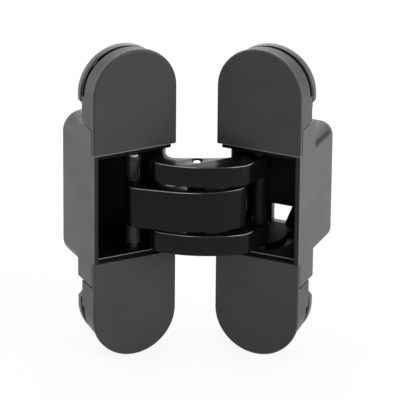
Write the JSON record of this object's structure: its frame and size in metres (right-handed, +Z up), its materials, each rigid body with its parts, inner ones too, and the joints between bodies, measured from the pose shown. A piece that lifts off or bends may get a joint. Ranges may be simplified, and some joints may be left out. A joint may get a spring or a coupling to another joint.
{
  "type": "concealed door hinge",
  "caption": "Concealed mortise hinge: two pocketed leaves with screw-hiding covers, linked by a scissor of curved levers whose pins slide in tracks as the door folds.",
  "frame": {"origin": "centre of the fixed leaf's four fixing holes, on the plane where its end plates bear on the timber", "axes": "+X across the fixed leaf towards the moving leaf, +Y into the timber that holds the fixed leaf, +Z up along the pivots"},
  "size_m": [0.0833, 0.0538, 0.11],
  "materials": {
    "cover": "satin",
    "housing": "satin",
    "end_plate": "satin",
    "track": "satin",
    "lever": "semi-gloss",
    "pin": "ground",
    "sleeve": "semi-gloss",
    "bearing": "matte",
    "clamp_screw": "plated"
  },
  "bodies": {
    "leaf_a": {"housing_a": "housing", "pivot_pin_a": "pin", "end_plate_a_top": "end_plate", "end_plate_a_bottom": "end_plate", "cover_a_top": "cover", "cover_a_bottom": "cover", "clamp_screw_a_top": "clamp_screw", "clamp_screw_a_bottom": "clamp_screw", "track_plate_a_top": "track", "track_plate_a_bottom": "track", "thrust_washer_a_top": "bearing", "thrust_washer_a_bottom": "bearing"},
    "outer_levers": {"outer_lever_top": "lever", "outer_lever_bottom": "lever", "centre_pin": "pin", "slide_pin_b": "pin", "spacer_sleeve_b": "sleeve", "centre_washer_top": "bearing", "centre_washer_bottom": "bearing", "guide_bush_b_top": "bearing", "guide_bush_b_bottom": "bearing"},
    "centre_lever": {"centre_lever": "lever", "slide_pin_a": "pin", "slide_sleeve_a_top": "sleeve", "slide_sleeve_a_bottom": "sleeve", "guide_bush_a_top": "bearing", "guide_bush_a_bottom": "bearing", "centre_bush": "bearing", "pivot_bush_b": "bearing"},
    "leaf_b": {"housing_b": "housing", "pivot_pin_b": "pin", "end_plate_b_top": "end_plate", "end_plate_b_bottom": "end_plate", "cover_b_top": "cover", "cover_b_bottom": "cover", "clamp_screw_b_top": "clamp_screw", "clamp_screw_b_bottom": "clamp_screw", "track_plate_b_top": "track", "track_plate_b_bottom": "track"}
  },
  "joints": [
    {"name": "outer_lever_pivot", "type": "hinge", "parent": "leaf_a", "child": "outer_levers", "pos_m": [0.011, -0.0048, 0], "axis": [0, 0, 1], "range_deg": [-81.22, 30.38]},
    {"name": "centre_pivot", "type": "hinge", "parent": "outer_levers", "child": "centre_lever", "pos_m": [0.01831, -0.02169, 0], "axis": [0, 0, 1], "range_deg": [-11.77, 31.45]},
    {"name": "centre_lever_pivot", "type": "hinge", "parent": "centre_lever", "child": "leaf_b", "pos_m": [0.03585, -0.01612, 0], "axis": [0, 0, 1], "range_deg": [-81.23, 30.39]}
  ],
  "couplings": [
    {"joint": "centre_pivot", "follows": "outer_lever_pivot", "ratio": -0.3871},
    {"joint": "centre_lever_pivot", "follows": "outer_lever_pivot", "ratio": 1}
  ]
}
